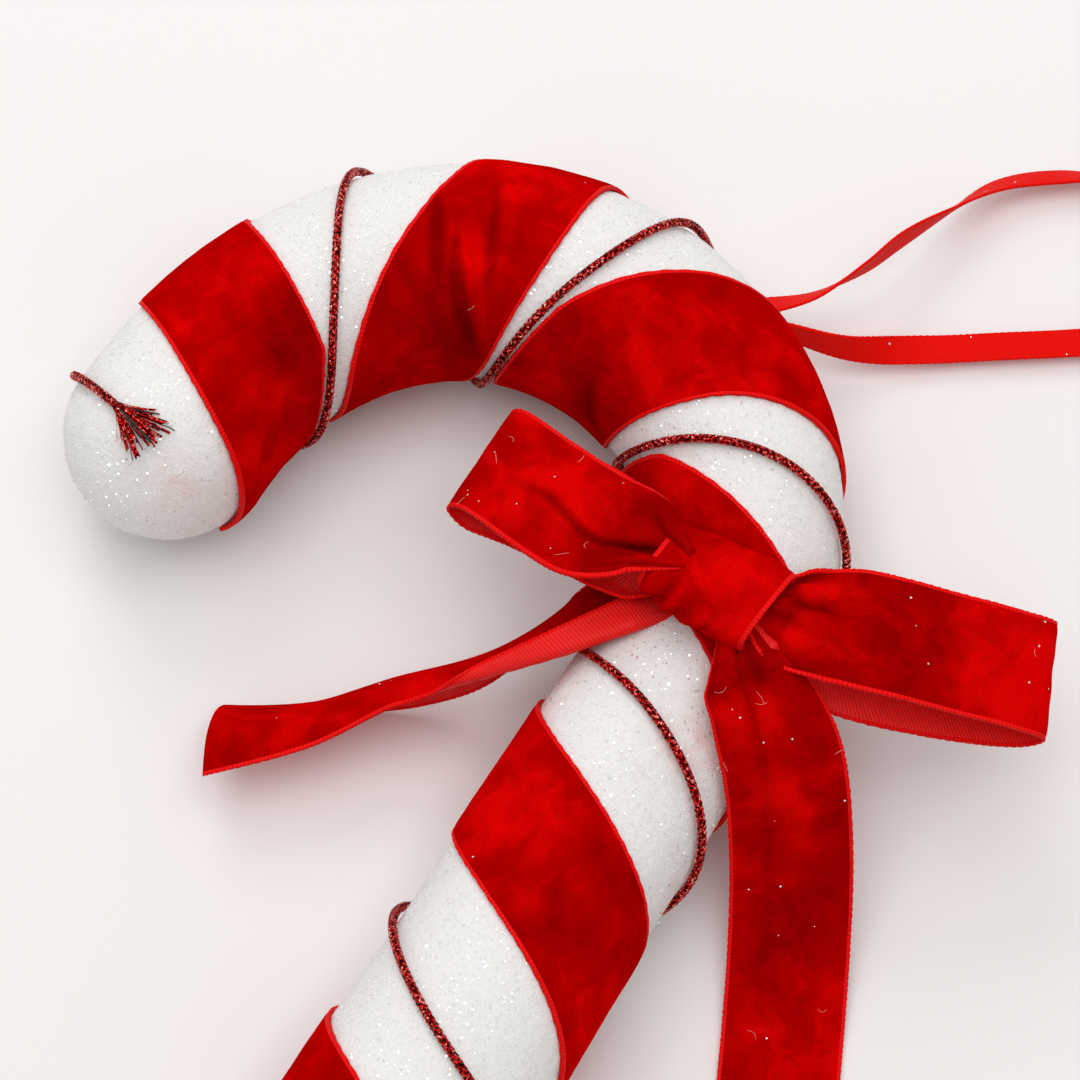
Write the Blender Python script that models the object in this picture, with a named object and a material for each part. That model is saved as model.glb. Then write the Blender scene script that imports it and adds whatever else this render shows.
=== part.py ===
"""A decorative candy cane, lying on its side, as closed solids. Metres, +Z up, hook towards +Y.

A white foam rod with a hooked top is wound with a wide velvet ribbon and a thin metallic cord. It carries a
velvet bow, and a narrow satin ribbon makes its hanging loop. The underside of the rod is level all along.

Places on the rod are given by s and theta. The distance s runs along the rod's axis from the point where the
shaft ends and the hook begins, and is negative down the shaft. The angle theta runs round the axis: 0 is the
outer side of the hook, a quarter turn is the top and half a turn the inner side.
"""

import math

import bmesh
import bpy
import numpy as np

MM = 0.001

# The foam rod.
HOOK_START = (37.5, 78.9)  # where the shaft's axis meets the hook, in the part's frame
SHAFT_LENGTH = 225.0  # from the hook to the centre of the lower round end
HOOK_LENGTH = 210.0  # along the axis, to the centre of the hook's round end
HOOK_TURN = math.radians(179.0)
HOOK_CURVATURE = ((0.0, 0.0), (0.15, 20.9), (0.4, 16.5), (0.7, 16.4), (1.0, 8.7))  # share of the hook: bend
ROD_RADIUS = ((-225.0, 24.2), (-110.0, 23.2), (-60.0, 22.1), (30.0, 21.3), (100.0, 23.1), (210.0, 22.0))

# The velvet ribbon and the metallic cord wound on it.
WRAP_WIDTH = 29.1
WRAP_THICKNESS = 1.0
WRAP_GAP = 0.45  # between the rod and what is wound on it
WRAP_PITCH = 77.0  # on the shaft
WRAP_SHAFT_TURN = (-68.0, -49.5, -32.0, -15.0)  # s at the outer side, the top, the inner side and underneath
WRAP_HOOK_TURNS = (
    (0.0, 17.0, 38.5, 50.0),
    (59.5, 76.0, 97.0, 106.0),
    (117.0, 126.0, 151.0, 167.0),
    (180.0, 186.0, 196.5, 207.0),
    (218.5, 228.0, 240.0, 249.0),
    (256.0, 266.0, 276.0, 286.0),
)
WRAP_TURNS = (-2.1, 4.62)
BOW_PINCH = (1.25, 0.2, 0.35)  # where the bow squeezes the velvet's lower half: turn, spread and share
CORD_DIAMETER = 2.0
CORD_TURNS = (-2.72, 4.22)
CORD_CLEARANCE = 0.55  # between the cord and the velvet edges
# How far the cord lies from the middle of the gap at each quarter turn, from turn -1 on.
CORD_STRAY = ((0, -3, 2, 0), (3, 4, -5, -2), (3, 3, -3, 0), (4, 0, -1, 0), (-1, 4, 9, 8), (10, 11, 11, 11))
FRAY_RADIUS = 2.2
AXIS_CLEARANCE = WRAP_GAP + CORD_DIAMETER - 0.2  # from the rod down to the floor

# The bow.
BOW_WIDTH = 25.4
BOW_THICKNESS = 0.9
KNOT_CENTRE = (-0.8, 14.7, 54.0)
KNOT_LENGTH = 25.4
KNOT_HALF_DEPTHS = (8.8, 11.2)  # at the left end and the right end
KNOT_HALF_HEIGHT = 6.2
KNOT_AXIS_ANGLE = math.radians(2.0)
KNOT_FACE_ANGLE = math.radians(84.0)  # its end faces lean a little

# The hanging loop.
HANGER_WIDTH = 6.35
HANGER_THICKNESS = 0.8

ROD_SIDES = 20
WRAP_STEPS = 20  # for each turn
CORD_STEPS = 20


# ---- curves ---------------------------------------------------------------------------------------------


def smooth(stations, share):
    """A smooth curve through evenly spaced stations, at a share from 0 to 1 of its length."""
    points = np.array(stations, float)
    at = min(max(share, 0.0), 1.0) * (len(points) - 1)
    i = min(int(at), len(points) - 2)
    t = at - i
    before, after = points[max(i - 1, 0)], points[min(i + 2, len(points) - 1)]
    a, b = points[i], points[i + 1]
    return 0.5 * (
        2 * a + (b - before) * t + (2 * before - 5 * a + 4 * b - after) * t**2 + (3 * a - before - 3 * b + after) * t**3
    )


def eased(pairs, x):
    """A value that passes smoothly from one (x, value) pair to the next."""
    for (x0, v0), (x1, v1) in zip(pairs, pairs[1:]):
        if x <= x1:
            t = min(max((x - x0) / (x1 - x0), 0.0), 1.0)
            return v0 + (v1 - v0) * t * t * (3 - 2 * t)
    return pairs[-1][1]


def hook_table(steps=600):
    """The axis of the hook: s, x, y and heading (0 is +Y) at each step, and its bend."""
    share = np.linspace(0, 1, steps + 1)
    bend = np.interp(share, *zip(*HOOK_CURVATURE))
    step = 1.0 / steps
    total = (bend[1:] + bend[:-1]).sum() / 2 * step
    bend = bend * HOOK_TURN / total / HOOK_LENGTH
    ds = HOOK_LENGTH * step
    heading = np.concatenate([[0], np.cumsum((bend[1:] + bend[:-1]) / 2 * ds)])
    middle = (heading[1:] + heading[:-1]) / 2
    x = np.concatenate([[0], np.cumsum(-np.sin(middle) * ds)])
    y = np.concatenate([[0], np.cumsum(np.cos(middle) * ds)])
    return share * HOOK_LENGTH, x, y, heading, bend


HOOK = hook_table()


def axis(s):
    """The rod's axis at s: x, y, heading and bend (one over its radius)."""
    grid, xs, ys, headings, bends = HOOK
    if s <= 0:
        return HOOK_START[0], HOOK_START[1] + s, 0.0, 0.0
    inside = min(s, HOOK_LENGTH)
    x, y, heading, bend = (float(np.interp(inside, grid, v)) for v in (xs, ys, headings, bends))
    past = s - inside
    x, y = x - past * math.sin(heading), y + past * math.cos(heading)
    return HOOK_START[0] + x, HOOK_START[1] + y, heading, bend if past == 0 else 0.0


def on_rod(s, theta, lift=0.0):
    """A point that is lift above the rod's surface. Past the ends the surface is a half ball."""
    inside = min(max(s, -SHAFT_LENGTH), HOOK_LENGTH)
    radius = eased(ROD_RADIUS, inside)
    past = s - inside
    out = math.sqrt(max((radius + lift) ** 2 - past**2, 0.0))
    x, y, heading, _ = axis(s)
    across, up = out * math.cos(theta), out * math.sin(theta)
    return (x + across * math.cos(heading), y + across * math.sin(heading), radius + AXIS_CLEARANCE + up)


def crossings():
    """s of the velvet ribbon at each quarter turn, from turn -3 on."""
    rows = [[s - WRAP_PITCH * k for s in WRAP_SHAFT_TURN] for k in (3, 2, 1, 0)]
    return [s for row in (*rows, *WRAP_HOOK_TURNS) for s in row]


CROSSINGS = crossings()


def wrap_line(turn):
    """s of the middle of the velvet ribbon after so many turns."""
    return float(smooth(CROSSINGS, (turn + 3) * 4 / (len(CROSSINGS) - 1)))


def cord_line(turn):
    """s of the metallic cord: about halfway between two turns of the ribbon."""
    stray = [s for row in CORD_STRAY for s in row]
    aside = float(smooth(stray, (turn + 1) * 4 / (len(stray) - 1))) if turn > -1 else 0.0
    return (wrap_line(turn) + wrap_line(turn + 1)) / 2 + aside


def wrap_edge(turn, side):
    """(s, turn) of the ribbon's edge, half its width square to its middle line and clear of the cord."""
    h = 0.01
    s, theta = wrap_line(turn), 2 * math.pi * turn
    radius = eased(ROD_RADIUS, s)
    stretch = 1 + axis(s)[3] * radius * math.cos(theta)
    reach = WRAP_WIDTH / 2
    if side < 0:
        reach *= 1 - BOW_PINCH[2] * math.exp(-(((turn - BOW_PINCH[0]) / BOW_PINCH[1]) ** 2))
    along = (wrap_line(turn + h) - wrap_line(turn - h)) / (2 * h) * stretch
    around = 2 * math.pi * radius
    long = math.hypot(along, around)
    edge_turn = turn - side * reach * along / long / around
    edge_s = s + side * reach * around / long / stretch
    clear = (CORD_DIAMETER / 2 + CORD_CLEARANCE) / stretch * long / around
    low, high = cord_line(edge_turn - 1) + clear, cord_line(edge_turn) - clear
    return min(max(edge_s, low), high), edge_turn


# ---- meshes ---------------------------------------------------------------------------------------------


def add_object(name, mesh, colour, roughness, metallic=0.0):
    """A named object with its own Principled material."""
    shown = bpy.data.objects.new(name, mesh)
    bpy.context.scene.collection.objects.link(shown)
    material = bpy.data.materials.new(name)
    material.use_nodes = True
    principled = material.node_tree.nodes["Principled BSDF"]
    principled.inputs["Base Color"].default_value = (*colour, 1)
    principled.inputs["Roughness"].default_value = roughness
    principled.inputs["Metallic"].default_value = metallic
    mesh.materials.append(material)
    return shown


def sheet_object(name, grid, thickness, offset, colour, roughness):
    """A grid of points as a sheet, made solid by a Solidify modifier."""
    rows, columns = len(grid), len(grid[0])
    bm = bmesh.new()
    verts = [[bm.verts.new([c * MM for c in p]) for p in row] for row in grid]
    for i in range(rows - 1):
        for j in range(columns - 1):
            bm.faces.new((verts[i][j], verts[i + 1][j], verts[i + 1][j + 1]))
            bm.faces.new((verts[i][j], verts[i + 1][j + 1], verts[i][j + 1]))
    mesh = bpy.data.meshes.new(name)
    bm.to_mesh(mesh)
    bm.free()
    mesh.shade_smooth()
    shown = add_object(name, mesh, colour, roughness)
    solidify = shown.modifiers.new("thickness", "SOLIDIFY")
    solidify.thickness = thickness * MM
    solidify.offset = offset
    solidify.use_even_offset = True
    solidify.thickness_clamp = 1.0
    return shown


def lofted_object(name, rings, ends, colour, roughness):
    """Rings of points joined one to the next, each end closed by a fan to a point."""
    bm = bmesh.new()
    loops = [[bm.verts.new([c * MM for c in p]) for p in ring] for ring in rings]
    sides = len(rings[0])
    for a, b in zip(loops, loops[1:]):
        for j in range(sides):
            k = (j + 1) % sides
            bm.faces.new((a[j], a[k], b[k], b[j]))
    for loop, end in ((loops[0], ends[0]), (loops[-1], ends[1])):
        tip = bm.verts.new([c * MM for c in end])
        for j in range(sides):
            bm.faces.new((loop[j], loop[(j + 1) % sides], tip))
    bmesh.ops.recalc_face_normals(bm, faces=bm.faces)
    mesh = bpy.data.meshes.new(name)
    bm.to_mesh(mesh)
    bm.free()
    mesh.shade_smooth()
    return add_object(name, mesh, colour, roughness)


# ---- the cane -------------------------------------------------------------------------------------------


def make_core():
    """The foam rod: rings along its axis and two round ends."""
    shaft = np.linspace(-SHAFT_LENGTH, 0, 13)[:-1]
    hook = np.linspace(0, HOOK_LENGTH, 31)
    cap = [math.sin(a) for a in np.linspace(0, math.pi / 2, 6)[1:-1]]
    low = [-SHAFT_LENGTH - c * ROD_RADIUS[0][1] for c in reversed(cap)]
    high = [HOOK_LENGTH + c * ROD_RADIUS[-1][1] for c in cap]
    rings = [
        [on_rod(s, 2 * math.pi * j / ROD_SIDES) for j in range(ROD_SIDES)] for s in [*low, *shaft, *hook, *high]
    ]
    ends = (on_rod(-SHAFT_LENGTH - ROD_RADIUS[0][1], 0), on_rod(HOOK_LENGTH + ROD_RADIUS[-1][1], 0))
    lofted_object("cane_core", rings, ends, (0.88, 0.88, 0.86), 0.6)


def make_wrap(columns=4):
    """The wide velvet ribbon, wound from the lower end to the hook's tip."""
    first, last = WRAP_TURNS
    grid = []
    for turn in np.linspace(first, last, round((last - first) * WRAP_STEPS) + 1):
        middle = (wrap_line(turn), turn)
        row = []
        for j in range(columns + 1):
            side = 2 * j / columns - 1
            edge = wrap_edge(turn, 1 if side > 0 else -1)
            s, at = (m + abs(side) * (e - m) for m, e in zip(middle, edge))
            near_end = max(abs(s - (HOOK_LENGTH - SHAFT_LENGTH) / 2) - (HOOK_LENGTH + SHAFT_LENGTH) / 2 + 12, 0)
            row.append(on_rod(s, 2 * math.pi * at, WRAP_GAP + min(near_end * 0.04, 0.5)))
        grid.append(row)
    sheet_object("velvet_wrap", grid, WRAP_THICKNESS, -1.0, (0.5, 0.0, 0.003), 0.9)


def make_cord():
    """The thin metallic cord between the velvet turns, its ends frayed."""
    first, last = CORD_TURNS
    turns = np.linspace(first, last, round((last - first) * CORD_STEPS) + 1)
    curve = bpy.data.curves.new("cord_wrap", "CURVE")
    curve.dimensions = "3D"
    curve.bevel_depth = CORD_DIAMETER / 2 * MM
    curve.bevel_resolution = 1
    curve.use_fill_caps = True
    line = curve.splines.new("POLY")
    line.points.add(len(turns) - 1)
    for point, turn in zip(line.points, turns):
        to_end = min(turn - first, last - turn) * CORD_STEPS
        widen = max(1 - to_end / 1.5, 0.0)
        radius = CORD_DIAMETER / 2 + (FRAY_RADIUS - CORD_DIAMETER / 2) * widen
        where = on_rod(cord_line(turn), 2 * math.pi * turn, WRAP_GAP + radius)
        point.co = (*(c * MM for c in where), 1)
        point.radius = radius / (CORD_DIAMETER / 2)
    add_object("cord_wrap", curve, (0.35, 0.01, 0.01), 0.3, 0.8)


# ---- ribbons --------------------------------------------------------------------------------------------


def ribbon_grid(route, side_angle, width, rows, columns, across, anchor=lambda t: 0.5, skew=0.0, over=1):
    """Rows of points of a ribbon of fixed width that follows a route from the rod's frame.

    side_angle(t) is the heading, in degrees from +X, of the ribbon's side direction. across(t, v) is the angle
    in radians by which the ribbon leans up at share v of its width, so a fold keeps the ribbon's width.
    anchor(t) is the share of the width that lies on the route. over is -1 where the side is to the left.
    """
    fine = 48
    grid = []
    for i in range(rows + 1):
        row = []
        for j in range(columns + 1):
            v = j / columns
            t = i / rows * (1 - skew * v)
            x, y, z = smooth(route, t)
            h = 1e-3
            a, b = smooth(route, max(t - h, 0)), smooth(route, min(t + h, 1))
            forward = (b - a) / np.linalg.norm(b - a)
            angle = math.radians(side_angle(t))
            side = np.array([math.cos(angle), math.sin(angle), 0.0])
            up = np.cross(forward, side) * over
            up /= np.linalg.norm(up)
            start = anchor(t)
            steps = max(1, round(fine * abs(v - start)))
            lean = [across(t, start + (k + 0.5) / steps * (v - start)) for k in range(steps)]
            reach = width * (v - start) / steps
            place = side * sum(map(math.cos, lean)) * reach + up * sum(map(math.sin, lean)) * reach
            row.append((x + place[0] + HOOK_START[0], y + place[1] + HOOK_START[1], z + place[2]))
        grid.append(row)
    return grid


def turned_side(at_knot, at_tip, near):
    """The side direction of a bow loop: square to the knot at both ends of its route."""
    return lambda t: at_knot + (at_tip - at_knot) * min(1.0, t / near, (1 - t) / near)


def gathered(near, strength, pleats):
    """Leaning across a ribbon that is gathered into pleats at both ends of its route."""

    def across(t, v):
        closeness = max(1 - t / near, 1 - (1 - t) / near, 0.0)
        return strength * closeness**1.4 * math.sin(2 * math.pi * pleats * (v - 0.5))

    return across


def make_bow():
    """Two loops, the knot over their middle, and two tails."""
    colour = (0.5, 0.0, 0.003)

    left = (
        (-14.8, 13.8, 51.5),
        (-28.0, 16.0, 47.0),
        (-44.0, 17.5, 39.0),
        (-54.0, 17.2, 35.6),
        (-58.0, 17.4, 40.5),
        (-54.0, 17.3, 45.8),
        (-41.0, 15.0, 49.6),
        (-27.0, 13.0, 53.6),
        (-14.8, 14.4, 56.4),
    )
    grid = ribbon_grid(left, turned_side(84.0, 90.0, 0.2), BOW_WIDTH, 24, 6, gathered(0.2, 1.2, 1.5))
    sheet_object("bow_loop_left", grid, BOW_THICKNESS, 0.0, colour, 0.9)

    right = (
        (13.4, 15.8, 48.4),
        (25.0, 18.5, 41.0),
        (43.0, 26.0, 36.0),
        (59.5, 34.0, 33.8),
        (65.8, 37.5, 38.8),
        (60.0, 34.7, 44.2),
        (43.0, 27.8, 49.8),
        (25.5, 21.0, 55.0),
        (13.4, 17.2, 56.4),
    )
    grid = ribbon_grid(right, turned_side(84.0, 114.0, 0.2), BOW_WIDTH, 24, 6, gathered(0.22, 1.2, 1.5))
    sheet_object("bow_loop_right", grid, BOW_THICKNESS, 0.0, colour, 0.9)

    tail = (
        (13.4, 3.0, 48.6),
        (21.0, -0.5, 45.4),
        (29.5, -7.0, 38.0),
        (38.0, -17.0, 22.0),
        (45.5, -29.0, 8.0),
        (52.0, -41.5, 2.2),
        (58.0, -54.0, 1.0),
        (66.5, -72.5, 1.0),
    )

    def tail_lean(t, v):
        gather = max(1 - t / 0.3, 0.0)
        return 1.15 * gather * math.sin(3 * math.pi * (v - 0.5))

    grid = ribbon_grid(tail, lambda t: 31 + 24 * max(1 - 3 * t, 0), BOW_WIDTH, 18, 6, tail_lean, skew=0.1)
    sheet_object("bow_tail_right", grid, BOW_THICKNESS, 0.0, colour, 0.9)

    rolled = (
        (-11.0, 0.9, 44.9),
        (-22.0, -10.2, 39.9),
        (-35.0, -19.8, 29.5),
        (-48.0, -31.5, 21.5),
        (-59.5, -48.5, 18.5),
        (-75.2, -64.7, 16.5),
    )

    def flap(t):
        return 0.34 * max(1 - t / 0.62, 0.0)

    def roll_lean(t, v):
        folded = min(max((flap(t) - v) / 0.14 + 0.5, 0.0), 1.0) * min(1.0, 8 * flap(t))
        roll = float(smooth(((-17,), (-14,), (-15,), (-5,), (10,)), t)[0])
        curl = float(smooth(((10,), (-60,), (-125,), (-110,), (-85,)), t)[0])
        return math.radians(roll + curl * (v - flap(t)) - 172 * folded)

    grid = ribbon_grid(rolled, lambda t: 128.0, BOW_WIDTH, 18, 8, roll_lean, flap, skew=0.06, over=-1)
    sheet_object("bow_tail_left", grid, BOW_THICKNESS, 0.0, colour, 0.9)

    make_knot(colour)


def make_knot(colour, rings=7, sides=20):
    """The band of ribbon over the middle of the bow: a barrel with rounded, flattened sides."""
    along = np.array([math.cos(KNOT_AXIS_ANGLE), math.sin(KNOT_AXIS_ANGLE), 0.0])
    back = np.array([math.cos(KNOT_FACE_ANGLE), math.sin(KNOT_FACE_ANGLE), 0.0])
    up = np.array([0.0, 0.0, 1.0])
    centre = np.array(KNOT_CENTRE) + np.array([*HOOK_START, 0.0])
    made = []
    for i in range(rings + 1):
        share = i / rings
        swell = 1 - 0.14 * (2 * share - 1) ** 2
        depth = KNOT_HALF_DEPTHS[0] + (KNOT_HALF_DEPTHS[1] - KNOT_HALF_DEPTHS[0]) * share
        middle = centre + along * KNOT_LENGTH * (share - 0.5)
        ring = []
        for j in range(sides):
            c, s = (f(2 * math.pi * j / sides) for f in (math.cos, math.sin))
            swell_to = swell * (abs(c) ** 2.6 + abs(s) ** 2.6) ** (-1 / 2.6)
            ring.append(tuple(middle + (back * c * depth + up * s * KNOT_HALF_HEIGHT) * swell_to))
        made.append(ring)
    ends = tuple(tuple(centre + along * side * KNOT_LENGTH / 2) for side in (-1, 1))
    lofted_object("bow_knot", made, ends, colour, 0.9)


def make_hanger():
    """The narrow ribbon: out from under the hook, round a loop and back, turning on edge where it bends."""
    route = (
        (-29.0, 86.0, 13.0),
        (-22.0, 88.0, 13.0),
        (-10.0, 93.5, 8.5),
        (3.6, 103.8, 4.2),
        (17.0, 113.2, 3.8),
        (31.5, 123.2, 3.8),
        (45.5, 133.5, 4.2),
        (56.0, 146.0, 4.2),
        (58.0, 159.5, 4.2),
        (49.0, 169.5, 4.2),
        (35.5, 170.5, 4.2),
        (22.5, 164.5, 4.2),
        (9.0, 157.0, 4.2),
        (-2.0, 147.0, 5.5),
        (-8.0, 134.0, 8.5),
        (-13.0, 121.0, 12.0),
        (-16.5, 108.5, 15.2),
        (-22.5, 96.5, 16.2),
        (-31.5, 88.5, 15.0),
    )
    turned = (70, 80, 60, 12, 5, 5, 30, 75, 90, 90, 90, 70, 40, 45, 75, 95, 85, 55, 30)

    def side_angle(t):
        a, b = smooth(route, max(t - 0.01, 0)), smooth(route, min(t + 0.01, 1))
        return math.degrees(math.atan2(b[1] - a[1], b[0] - a[0])) + 90

    def lean(t, v):
        return math.radians(float(smooth([[d] for d in turned], t)[0]))

    grid = ribbon_grid(route, side_angle, HANGER_WIDTH, 60, 1, lean)
    sheet_object("hanging_ribbon", grid, HANGER_THICKNESS, 0.0, (0.75, 0.02, 0.01), 0.5)


for old in list(bpy.data.objects):
    bpy.data.objects.remove(old)
make_core()
make_wrap()
make_cord()
make_bow()
make_hanger()
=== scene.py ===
"""Looks of a decorative candy cane: glittered foam, velvet ribbon, metallic cord, a bow and a hanging loop.

Lengths are in millimetres until they become mesh points. Places on the rod are given by s, the distance
along its axis from where the hook begins, and theta, the angle round the axis: 0 is the outer side of the
hook and a quarter turn is the top.
"""

import math

import bpy
import numpy as np
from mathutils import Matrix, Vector, noise


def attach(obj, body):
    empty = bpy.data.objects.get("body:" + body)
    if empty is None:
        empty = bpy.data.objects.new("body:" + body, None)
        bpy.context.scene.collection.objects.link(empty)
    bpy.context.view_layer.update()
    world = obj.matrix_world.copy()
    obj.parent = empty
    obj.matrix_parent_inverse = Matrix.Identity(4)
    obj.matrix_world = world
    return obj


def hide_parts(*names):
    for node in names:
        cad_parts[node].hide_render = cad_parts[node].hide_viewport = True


MM = 0.001

# The rod and what is wound on it: the sizes of the CAD model.
HOOK_START = (37.5, 78.9)
SHAFT_LENGTH = 225.0
HOOK_LENGTH = 210.0
HOOK_TURN = math.radians(179.0)
HOOK_CURVATURE = ((0.0, 0.0), (0.15, 20.9), (0.4, 16.5), (0.7, 16.4), (1.0, 8.7))
ROD_RADIUS = ((-225.0, 24.2), (-110.0, 23.2), (-60.0, 22.1), (30.0, 21.3), (100.0, 23.1), (210.0, 22.0))
WRAP_WIDTH = 29.1
WRAP_THICKNESS = 1.0
WRAP_GAP = 0.45
WRAP_PITCH = 77.0
WRAP_SHAFT_TURN = (-68.0, -49.5, -32.0, -15.0)
WRAP_HOOK_TURNS = (
    (0.0, 17.0, 38.5, 50.0),
    (59.5, 76.0, 97.0, 106.0),
    (117.0, 126.0, 151.0, 167.0),
    (180.0, 186.0, 196.5, 207.0),
    (218.5, 228.0, 240.0, 249.0),
    (256.0, 266.0, 276.0, 286.0),
)
WRAP_TURNS = (-2.1, 4.62)
BOW_PINCH = (1.25, 0.2, 0.35)
CORD_DIAMETER = 2.0
CORD_TURNS = (-2.72, 4.22)
CORD_CLEARANCE = 0.55
CORD_STRAY = ((0, -3, 2, 0), (3, 4, -5, -2), (3, 3, -3, 0), (4, 0, -1, 0), (-1, 4, 9, 8), (10, 11, 11, 11))
AXIS_CLEARANCE = WRAP_GAP + CORD_DIAMETER - 0.2

BOW_WIDTH = 25.4
BOW_THICKNESS = 0.9
HANGER_WIDTH = 6.35

# The view.
CAMERA_TARGET = (-8.9, 101.0, 0.0)
CAMERA_DISTANCE = 0.8
CAMERA_ELEVATION = math.radians(69.06)
CAMERA_AZIMUTH = math.radians(-31.62)
CAMERA_LENS = 122.6

RNG = np.random.default_rng(7)

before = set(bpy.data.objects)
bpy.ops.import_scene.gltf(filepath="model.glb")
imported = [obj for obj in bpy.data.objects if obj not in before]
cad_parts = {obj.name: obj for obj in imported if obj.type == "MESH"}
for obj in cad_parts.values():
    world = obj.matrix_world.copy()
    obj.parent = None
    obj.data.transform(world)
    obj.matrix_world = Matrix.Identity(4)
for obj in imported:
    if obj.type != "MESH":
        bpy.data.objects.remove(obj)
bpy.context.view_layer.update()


# ---- curves ---------------------------------------------------------------------------------------------


def smooth(stations, share):
    """Smooth curve through evenly spaced stations, at shares from 0 to 1 of its length."""
    points = np.array(stations, float)
    share = np.clip(np.asarray(share, float), 0, 1)
    at = share * (len(points) - 1)
    i = np.minimum(at.astype(int), len(points) - 2)
    t = at - i
    if points.ndim > 1:
        t = t[..., None]
    before, after = points[np.maximum(i - 1, 0)], points[np.minimum(i + 2, len(points) - 1)]
    a, b = points[i], points[i + 1]
    return 0.5 * (
        2 * a + (b - before) * t + (2 * before - 5 * a + 4 * b - after) * t**2 + (3 * a - before - 3 * b + after) * t**3
    )


def eased(pairs, x):
    """Values that pass smoothly from one (x, value) pair to the next."""
    x = np.asarray(x, float)
    xs, values = (np.array(v, float) for v in zip(*pairs))
    i = np.clip(np.searchsorted(xs, x) - 1, 0, len(xs) - 2)
    t = np.clip((x - xs[i]) / (xs[i + 1] - xs[i]), 0, 1)
    return values[i] + (values[i + 1] - values[i]) * t * t * (3 - 2 * t)


def hook_table(steps=600):
    share = np.linspace(0, 1, steps + 1)
    bend = np.interp(share, *zip(*HOOK_CURVATURE))
    step = 1.0 / steps
    total = (bend[1:] + bend[:-1]).sum() / 2 * step
    bend = bend * HOOK_TURN / total / HOOK_LENGTH
    ds = HOOK_LENGTH * step
    heading = np.concatenate([[0], np.cumsum((bend[1:] + bend[:-1]) / 2 * ds)])
    middle = (heading[1:] + heading[:-1]) / 2
    x = np.concatenate([[0], np.cumsum(-np.sin(middle) * ds)])
    y = np.concatenate([[0], np.cumsum(np.cos(middle) * ds)])
    return share * HOOK_LENGTH, x, y, heading, bend


HOOK = hook_table()


def axis(s):
    """The rod's axis at s: x, y, heading and bend."""
    grid, xs, ys, headings, bends = HOOK
    s = np.asarray(s, float)
    inside = np.clip(s, 0, HOOK_LENGTH)
    x, y, heading, bend = (np.interp(inside, grid, v) for v in (xs, ys, headings, bends))
    past = s - inside
    x, y = x - past * np.sin(heading), y + past * np.cos(heading)
    return HOOK_START[0] + x, HOOK_START[1] + y, heading, np.where(past == 0, bend, 0.0)


def on_rod(s, theta, lift=0.0):
    """Points lift above the rod's surface. Past the ends the surface is a half ball."""
    s = np.asarray(s, float)
    inside = np.clip(s, -SHAFT_LENGTH, HOOK_LENGTH)
    radius = eased(ROD_RADIUS, inside)
    past = s - inside
    out = np.sqrt(np.maximum((radius + lift) ** 2 - past**2, 0.0))
    x, y, heading, _ = axis(s)
    across, up = out * np.cos(theta), out * np.sin(theta)
    place = (x + across * np.cos(heading), y + across * np.sin(heading), radius + AXIS_CLEARANCE + up)
    return np.stack(np.broadcast_arrays(*place), -1)


CROSSINGS = [
    s for row in (*[[s - WRAP_PITCH * k for s in WRAP_SHAFT_TURN] for k in (3, 2, 1, 0)], *WRAP_HOOK_TURNS) for s in row
]


def wrap_line(turn):
    return smooth(CROSSINGS, (np.asarray(turn) + 3) * 4 / (len(CROSSINGS) - 1))


def cord_line(turn):
    turn = np.asarray(turn, float)
    stray = [s for row in CORD_STRAY for s in row]
    aside = np.where(turn > -1, smooth(stray, (turn + 1) * 4 / (len(stray) - 1)), 0.0)
    return (wrap_line(turn) + wrap_line(turn + 1)) / 2 + aside


def wrap_edge(turn, side):
    """(s, turn) of a line beside the ribbon's middle, and clear of the cord."""
    h = 0.01
    s, theta = wrap_line(turn), 2 * np.pi * turn
    radius = eased(ROD_RADIUS, s)
    stretch = 1 + axis(s)[3] * radius * np.cos(theta)
    pinch = BOW_PINCH[2] if side < 0 else 0.0
    reach = WRAP_WIDTH / 2 * (1 - pinch * np.exp(-(((turn - BOW_PINCH[0]) / BOW_PINCH[1]) ** 2)))
    along = (wrap_line(turn + h) - wrap_line(turn - h)) / (2 * h) * stretch
    around = 2 * np.pi * radius
    long = np.hypot(along, around)
    edge_turn = turn - side * reach * along / long / around
    edge_s = s + side * reach * around / long / stretch
    clear = (CORD_DIAMETER / 2 + CORD_CLEARANCE) / stretch * long / around
    low, high = cord_line(edge_turn - 1) + clear, cord_line(edge_turn) - clear
    return np.minimum(np.maximum(edge_s, low), high), edge_turn


def unit(v):
    return v / np.maximum(np.linalg.norm(v, axis=-1, keepdims=True), 1e-9)


def normals_of(grid):
    """Unit normals of a grid of points."""
    return unit(np.cross(np.gradient(grid, axis=0), np.gradient(grid, axis=1)))


def noise_at(points, scale, seed=0, octaves=3):
    """Fractal noise, about -1 to 1, at each point; scale is the size of its features in mm."""
    flat = points.reshape(-1, 3) / scale + seed * 17.3
    values = [noise.fractal(Vector(p), 0.6, 2.0, octaves) for p in flat]
    return np.array(values).reshape(points.shape[:-1])


# ---- meshes and materials -------------------------------------------------------------------------------


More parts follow.
